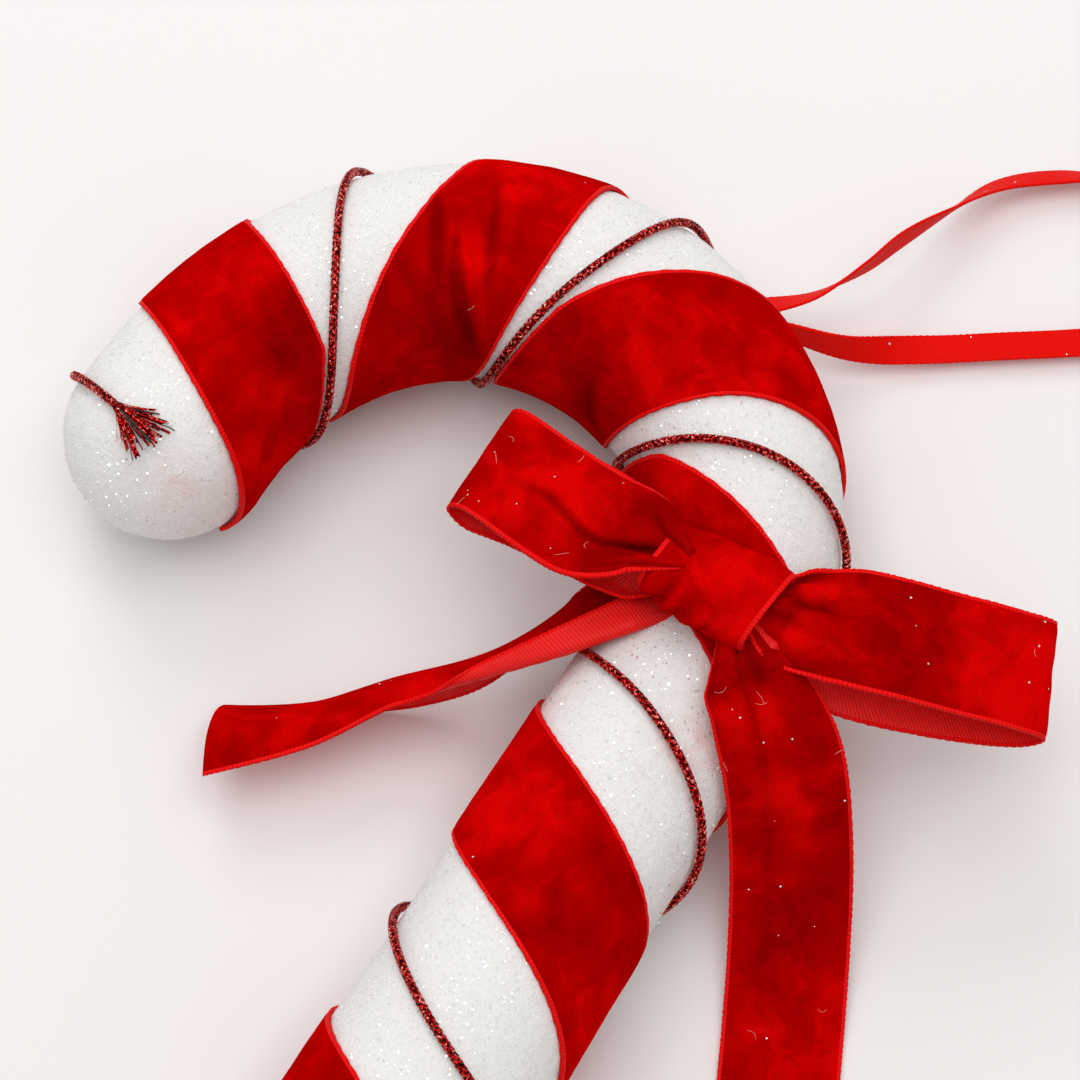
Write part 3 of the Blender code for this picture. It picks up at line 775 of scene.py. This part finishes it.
def make_bow():
    cloth = [VELVET, SATIN, EDGE]
    across = across_stations(BOW_WIDTH)

    left = (
        (-14.8, 13.8, 51.5),
        (-28.0, 16.0, 47.0),
        (-44.0, 17.5, 39.0),
        (-54.0, 17.2, 35.6),
        (-58.0, 17.4, 40.5),
        (-54.0, 17.3, 45.8),
        (-41.0, 15.0, 49.6),
        (-27.0, 13.0, 53.6),
        (-14.8, 14.4, 56.4),
    )
    grid = ribbon_rows(left, turned_side(84.0, 90.0, 0.2), BOW_WIDTH, 190, across, gathered(0.2, 1.2, 1.5))
    normal = normals_of(grid)
    t = np.linspace(0, 1, 190)[:, None]
    v = (across / BOW_WIDTH)[None, :]
    # The lower part of the upper layer dips below a crease that starts halfway and runs into the knot.
    along_crease = np.clip((t - 0.66) / 0.10, 0, 1)
    crease_at = 0.34 + 0.12 * hill(t, 0.76, 0.08) + 0.10 * np.clip((t - 0.9) / 0.1, 0, 1)
    dip = 1.7 * along_crease / (1 + np.exp((v - crease_at) / 0.022)) * np.clip(v / 0.12, 0, 1)
    ridge = 1.1 * along_crease * hill(v, crease_at - 0.05, 0.05)
    ripple = 0.5 * np.clip((t - 0.86) / 0.14, 0, 1) * np.sin(2 * np.pi * 3.2 * v)
    # Painted shade along the crease and near the knot.
    shade = 0.55 * along_crease * hill(v, crease_at + 0.04, 0.05) + 0.35 * hill(t, 0.97, 0.07) * (v > 0.3)
    shade = shade * (t > 0.6)
    grid = grid + normal * (0.25 * noise_at(grid, 9.0, 21, 2) + LEFT_OUT * (dip - ridge + ripple))[..., None]
    grid = tucked(grid, (-4.0, 14.5), 0.75, True)
    shade = np.concatenate([0 * shade[:16], shade, np.repeat(shade[-1:], 16, axis=0)])
    piece = ribbon_object("bow_left_loop", grid, across, BOW_THICKNESS, -LEFT_OUT, cloth, shade=shade)
    finish_piece(piece, "velvet", "bow_loop_left")

    right = (
        (13.4, 15.8, 48.4),
        (25.0, 18.5, 41.0),
        (43.0, 26.0, 36.0),
        (59.5, 34.0, 33.8),
        (65.8, 37.5, 38.8),
        (60.0, 34.7, 44.2),
        (43.0, 27.8, 49.8),
        (25.5, 21.0, 55.0),
        (13.4, 17.2, 56.4),
    )
    side = turned_side(84.0, 114.0, 0.2)
    grid = ribbon_rows(right, side, BOW_WIDTH, 190, across, gathered(0.22, 1.2, 1.5))
    normal = normals_of(grid)
    near = hill(t, 0.95, 0.075)
    wave = np.sin(2 * np.pi * (1.9 * v + 2.2 * t) + 0.9)
    wave = wave + 0.55 * np.sin(2 * np.pi * (3.7 * v - 2.5 * t) + 2.0)
    folds = near * wave
    # Painted shade over the folds near the knot, and a little before them.
    shade = np.clip(0.42 * near * (0.55 + folds), 0, 0.6) + 0.14 * hill(t, 0.80, 0.12) * (t > 0.6)
    grid = grid + normal * (0.25 * noise_at(grid, 9.0, 22, 2) + folds * 1.35)[..., None]
    grid = tucked(grid, (3.0, 15.5), 0.75, True)
    shade = np.concatenate([0 * shade[:16], shade, np.repeat(shade[-1:], 16, axis=0)])
    piece = ribbon_object("bow_right_loop", grid, across, BOW_THICKNESS, RIGHT_OUT, cloth, shade=shade)
    finish_piece(piece, "velvet", "bow_loop_right")

    tail = (
        (13.4, 3.0, 48.6),
        (21.0, -0.5, 45.4),
        (29.5, -7.0, 38.0),
        (38.0, -17.0, 22.0),
        (45.5, -29.0, 8.0),
        (52.0, -41.5, 2.2),
        (58.0, -54.0, 1.0),
        (66.5, -72.5, 1.0),
    )

    def tail_lean(t, v):
        gather = max(1 - t / 0.3, 0.0)
        return 1.15 * gather * np.sin(3 * np.pi * (v - 0.5))

    grid = ribbon_rows(
        tail, lambda t: 31 + 24 * max(1 - 3 * t, 0), BOW_WIDTH, 150, across, tail_lean, skew=0.1
    )
    t = np.linspace(0, 1, 150)[:, None]
    crease = 1.0 * hill(v, 0.30 - 0.12 * t, 0.07) * np.clip(1 - t / 0.75, 0, 1)
    # Painted shade along the crease and where the tail leaves the knot.
    shade = 0.35 * hill(v, 0.36 - 0.12 * t, 0.06) * np.clip(1 - t / 0.8, 0, 1) + 0.35 * hill(t, 0.0, 0.07)
    grid = grid + normals_of(grid) * (0.2 * noise_at(grid, 8.0, 23, 2) + crease)[..., None]
    grid = tucked(grid, (3.0, 14.0), 0.8)
    shade = np.concatenate([np.repeat(shade[:1], 16, axis=0), shade])
    grid[..., 2] = np.maximum(grid[..., 2], 0.75)
    piece = ribbon_object("bow_right_tail", grid, across, BOW_THICKNESS, TAIL_UP, cloth, shade=shade)
    finish_piece(piece, "velvet", "bow_tail_right")

    rolled = (
        (-11.0, 0.9, 44.9),
        (-22.0, -10.2, 39.9),
        (-35.0, -19.8, 29.5),
        (-48.0, -31.5, 21.5),
        (-59.5, -48.5, 18.5),
        (-75.2, -64.7, 16.5),
    )

    def flap(t):
        return 0.34 * max(1 - t / 0.62, 0.0)

    def roll_lean(t, v):
        folded = np.clip((flap(t) - v) / 0.14 + 0.5, 0.0, 1.0) * min(1.0, 8 * flap(t))
        roll = float(smooth((-17, -14, -15, -5, 10), t))
        curl = float(smooth((10, -60, -125, -110, -85), t))
        return np.radians(roll + curl * (v - flap(t)) - 172 * folded)

    grid = ribbon_rows(rolled, lambda t: 128.0, BOW_WIDTH, 150, across, roll_lean, flap, skew=0.06, over=-1)
    # Painted shade where the tail leaves the knot.
    shade = 0.35 * hill(t, 0.0, 0.25) + 0 * v
    grid = tucked(grid, (-4.0, 11.0), 0.85)
    shade = np.concatenate([np.repeat(shade[:1], 16, axis=0), shade])
    grid[..., 2] = np.maximum(grid[..., 2], 0.75)
    piece = ribbon_object("bow_left_tail", grid, across, BOW_THICKNESS, ROLLED_UP, cloth, shade=shade)
    finish_piece(piece, "velvet", "bow_tail_left")

    make_knot(cloth)


LEFT_OUT = -1
RIGHT_OUT = -1
TAIL_UP = 1
ROLLED_UP = -1


KNOT_CENTRE = (-0.8, 14.7, 54.0)
KNOT_LENGTH = 25.4
KNOT_HALF_DEPTHS = (8.8, 11.2)
KNOT_HALF_HEIGHT = 6.2
KNOT_AXIS_ANGLE = math.radians(2.0)
KNOT_FACE_ANGLE = math.radians(84.0)


def make_knot(cloth):
    """The band of ribbon round the middle of the bow, wrinkled at its lower left."""
    rings, sides = 64, 120
    along = np.array([math.cos(KNOT_AXIS_ANGLE), math.sin(KNOT_AXIS_ANGLE), 0.0])
    back = np.array([math.cos(KNOT_FACE_ANGLE), math.sin(KNOT_FACE_ANGLE), 0.0])
    up = np.array([0.0, 0.0, 1.0])
    centre = np.array(KNOT_CENTRE) + np.array([*HOOK_START, 0.0])
    place = across_stations(KNOT_LENGTH, interior=0.5)
    rings = len(place)
    share = (place / KNOT_LENGTH)[:, None]
    angle = (np.arange(sides) / sides * 2 * np.pi)[None, :]
    swell = 1 - 0.14 * (2 * share - 1) ** 2
    depth = KNOT_HALF_DEPTHS[0] + (KNOT_HALF_DEPTHS[1] - KNOT_HALF_DEPTHS[0]) * share
    c, s = np.cos(angle), np.sin(angle)
    power = 2.6
    swell_to = swell * (np.abs(c) ** power + np.abs(s) ** power) ** (-1 / power)
    middle = centre + along * (KNOT_LENGTH * (share - 0.5))[..., None]
    offset = (back * (c * depth * swell_to)[..., None]) + up * (s * KNOT_HALF_HEIGHT * swell_to)[..., None]
    grid = middle + offset
    # Folds that run round the band and fade towards its top right.
    low = hill(angle, math.radians(160), 0.62)
    wave = np.sin(2 * np.pi * (share * 4.2 + 0.35 * np.sin(angle * 2.0) + 0.1 * np.sin(share * 19)))
    wrinkle = low * wave * np.clip(1.15 - 1.25 * share, 0, 1) * np.clip(share / 0.08, 0, 1)
    out = unit(offset)
    grid = grid + out * (wrinkle * 1.25 + 0.35 * noise_at(grid, 6.0, 31, 2) - 0.15)[..., None]
    # Painted shade in the wrinkles' hollows and painted highlight on their crests.
    shade = np.clip(-0.5 * wrinkle, -0.15, 0.5)
    to_edge = np.minimum(place, KNOT_LENGTH - place)
    in_edge = np.clip(1 - np.abs(to_edge - 0.5) / 0.6, 0, 1)
    ribs = 0.10 * np.sin(2 * np.pi * np.arange(sides) / sides * 40)[None, :] * np.clip(1 - to_edge / 0.6, 0, 1)[:, None]
    grid = grid + out * ((0.12 * np.sqrt(in_edge) - 0.12 * (to_edge < 1.0))[:, None] + ribs)[..., None]
    points = grid.reshape(-1, 3)
    faces = grid_faces(rings, sides, closed=True)
    mid = np.minimum(to_edge[:-1], to_edge[1:])
    slots = np.repeat(np.where(mid < 0.95, 2, 0), sides)
    # The ends go in a little and close on the gathered ribbon inside.
    inner = []
    start = len(points)
    for end, ring in ((0, grid[0]), (1, grid[-1])):
        heart = middle[0 if end == 0 else -1, 0]
        for k, shrink in enumerate((0.86, 0.45, 0.02)):
            inset = along * ((1 if end == 0 else -1) * (0.5 + 0.5 * k))
            inner.append(heart + (ring - heart) * shrink + inset)
    points = np.concatenate([points, *[ring for ring in inner]])
    extra, extra_slots = [], []
    j = np.arange(sides)
    k = (j + 1) % sides
    for end in (0, 1):
        rims = [(0 if end == 0 else (rings - 1) * sides)] + [start + (3 * end + i) * sides for i in range(3)]
        for a, b in zip(rims, rims[1:]):
            quad = np.stack([a + j, b + j, b + k, a + k], -1)
            extra.append(quad[:, ::-1] if end == 0 else quad)
            extra_slots.append(np.full(sides, 2 if a == rims[0] else 0))
    faces = np.concatenate([faces, *extra])
    slots = np.concatenate([slots, *extra_slots])
    count = len(points)
    along_ring = np.tile(np.arange(sides) / sides * 56.0, count // sides)
    # Painted shade on the rings where the band's ends go into the knot.
    shades = np.concatenate([shade.ravel(), np.full(count - shade.size, 0.4)])
    attributes = {"along": along_ring, "across": np.zeros(count), "shade": shades}
    piece = mesh_object("knot_band", points, faces, cloth, slots, attributes)
    finish_piece(piece, "velvet", "bow_knot")


# ---- the hanging loop -----------------------------------------------------------------------------------


def make_hanger():
    """The narrow ribbon from under the hook, round a loop and back."""
    route = (
        (-29.0, 86.0, 13.0),
        (-22.0, 88.0, 13.0),
        (-10.0, 93.5, 8.5),
        (3.6, 103.8, 4.2),
        (17.0, 113.2, 3.8),
        (31.5, 123.2, 3.8),
        (45.5, 133.5, 4.2),
        (56.0, 146.0, 4.2),
        (58.0, 159.5, 4.2),
        (49.0, 169.5, 4.2),
        (35.5, 170.5, 4.2),
        (22.5, 164.5, 4.2),
        (9.0, 157.0, 4.2),
        (-2.0, 147.0, 5.5),
        (-8.0, 134.0, 8.5),
        (-13.0, 121.0, 12.0),
        (-16.5, 108.5, 15.2),
        (-22.5, 96.5, 16.2),
        (-31.5, 88.5, 15.0),
    )
    turned = (70, 80, 60, 12, 5, 5, 30, 75, 90, 90, 90, 70, 40, 45, 75, 95, 85, 55, 30)

    def side_angle(t):
        a, b = smooth(route, max(t - 0.01, 0)), smooth(route, min(t + 0.01, 1))
        return math.degrees(math.atan2(b[1] - a[1], b[0] - a[0])) + 90

    def lean(t, v):
        return np.radians(float(smooth(turned, t))) + 0 * v

    across = np.array([0.0, 0.25, 0.5, 0.8, 1.6, 2.4, 3.175, 3.95, 4.75, 5.55, 5.85, 6.1, 6.35])
    grid = ribbon_rows(route, side_angle, HANGER_WIDTH, 420, across, lean)
    piece = ribbon_object("hanging_loop", grid, across, 0.7, 1, [HANGER, HANGER, HANGER], 0.5)
    finish_piece(piece, "satin", "hanging_ribbon")


# ---- lint -----------------------------------------------------------------------------------------------


def make_lint(fibres=34, flakes=90):
    """Pale fibres and stray flakes of glitter caught on the velvet."""
    tubes, spots, facing = [], [], []
    for k in range(fibres + flakes):
        points, normals = CLOTH[RNG.integers(len(CLOTH))]
        rows, columns = points.shape[:2]
        i, j = RNG.integers(rows // 10, rows * 9 // 10), RNG.integers(columns // 8, columns * 7 // 8)
        place, normal = points[i, j], normals[i, j]
        if k >= fibres:
            spots.append(place)
            facing.append(normal)
            continue
        heading = unit(np.cross(normal, RNG.normal(size=3)))
        other = np.cross(normal, heading)
        t = np.linspace(-1, 1, 7)[:, None]
        half = RNG.uniform(0.5, 1.7)
        path = place + normal * 0.22 + heading * t * half + other * (t**2) * RNG.uniform(-0.8, 0.8)
        path = path + normal * np.abs(t) * RNG.uniform(0, 0.25)
        tubes.append(tube_points(path, np.tile(normal, (7, 1)), np.tile(other, (7, 1)), 0.028, 4))
    finish_piece(tubes_object("lint", tubes, [LINT], [0] * len(tubes)), "velvet")
    facing = np.array(facing)
    sizes = RNG.uniform(0.25, 0.5, len(spots))
    stray = scatter_flakes("stray_glitter", np.array(spots) + facing * 0.2, facing, sizes, 0.2, FLAKE)
    finish_piece(stray, "foam")


# ---- camera, floor and light ----------------------------------------------------------------------------


def add_camera():
    target = Vector(CAMERA_TARGET) * MM
    out = Vector(
        (
            -math.sin(CAMERA_AZIMUTH) * math.cos(CAMERA_ELEVATION),
            -math.cos(CAMERA_AZIMUTH) * math.cos(CAMERA_ELEVATION),
            math.sin(CAMERA_ELEVATION),
        )
    )
    data = bpy.data.cameras.new("camera")
    data.lens = CAMERA_LENS
    data.sensor_width = 36.0
    camera = bpy.data.objects.new("camera", data)
    camera.location = target + out * CAMERA_DISTANCE
    camera.rotation_euler = (-out).to_track_quat("-Z", "Y").to_euler()
    bpy.context.scene.collection.objects.link(camera)
    bpy.context.scene.camera = camera


def add_floor():
    made = material("floor", (0.80, 0.785, 0.78), 0.85)
    n = Nodes(made)
    n.bump(n.noise(1.2, 3.0), 0.08, 0.3)
    size = 3000.0
    corners = np.array([[-size, -size, 0], [size, -size, 0], [size, size, 0], [-size, size, 0]], float)
    floor = mesh_object("floor", corners, [[0, 1, 2, 3]], [made])


def add_area(name, place, aim, size, power, colour=(1, 1, 1)):
    data = bpy.data.lights.new(name, "AREA")
    data.shape = "RECTANGLE"
    data.size, data.size_y = size
    data.energy = power
    data.color = colour
    light = bpy.data.objects.new(name, data)
    light.location = place
    light.rotation_euler = (Vector(aim) - Vector(place)).to_track_quat("-Z", "Y").to_euler()
    bpy.context.scene.collection.objects.link(light)


def add_light():
    scene = bpy.context.scene
    scene.view_settings.view_transform = "Standard"
    world = bpy.data.worlds.new("studio")
    world.use_nodes = True
    background = world.node_tree.nodes["Background"]
    background.inputs["Color"].default_value = (1.0, 0.99, 0.985, 1)
    background.inputs["Strength"].default_value = 0.50
    scene.world = world
    add_area("overhead", (0.0, 0.1, 1.7), (0.0, 0.1, 0.0), (1.6, 1.6), 19.0)
    add_area("window", (-0.75, 0.75, 1.0), (0.0, 0.1, 0.0), (0.6, 0.6), 4.0)


add_camera()
add_floor()
add_light()
make_hanger()
make_core()
make_glitter()
make_wrap()
make_cord()
make_bow()
make_lint()
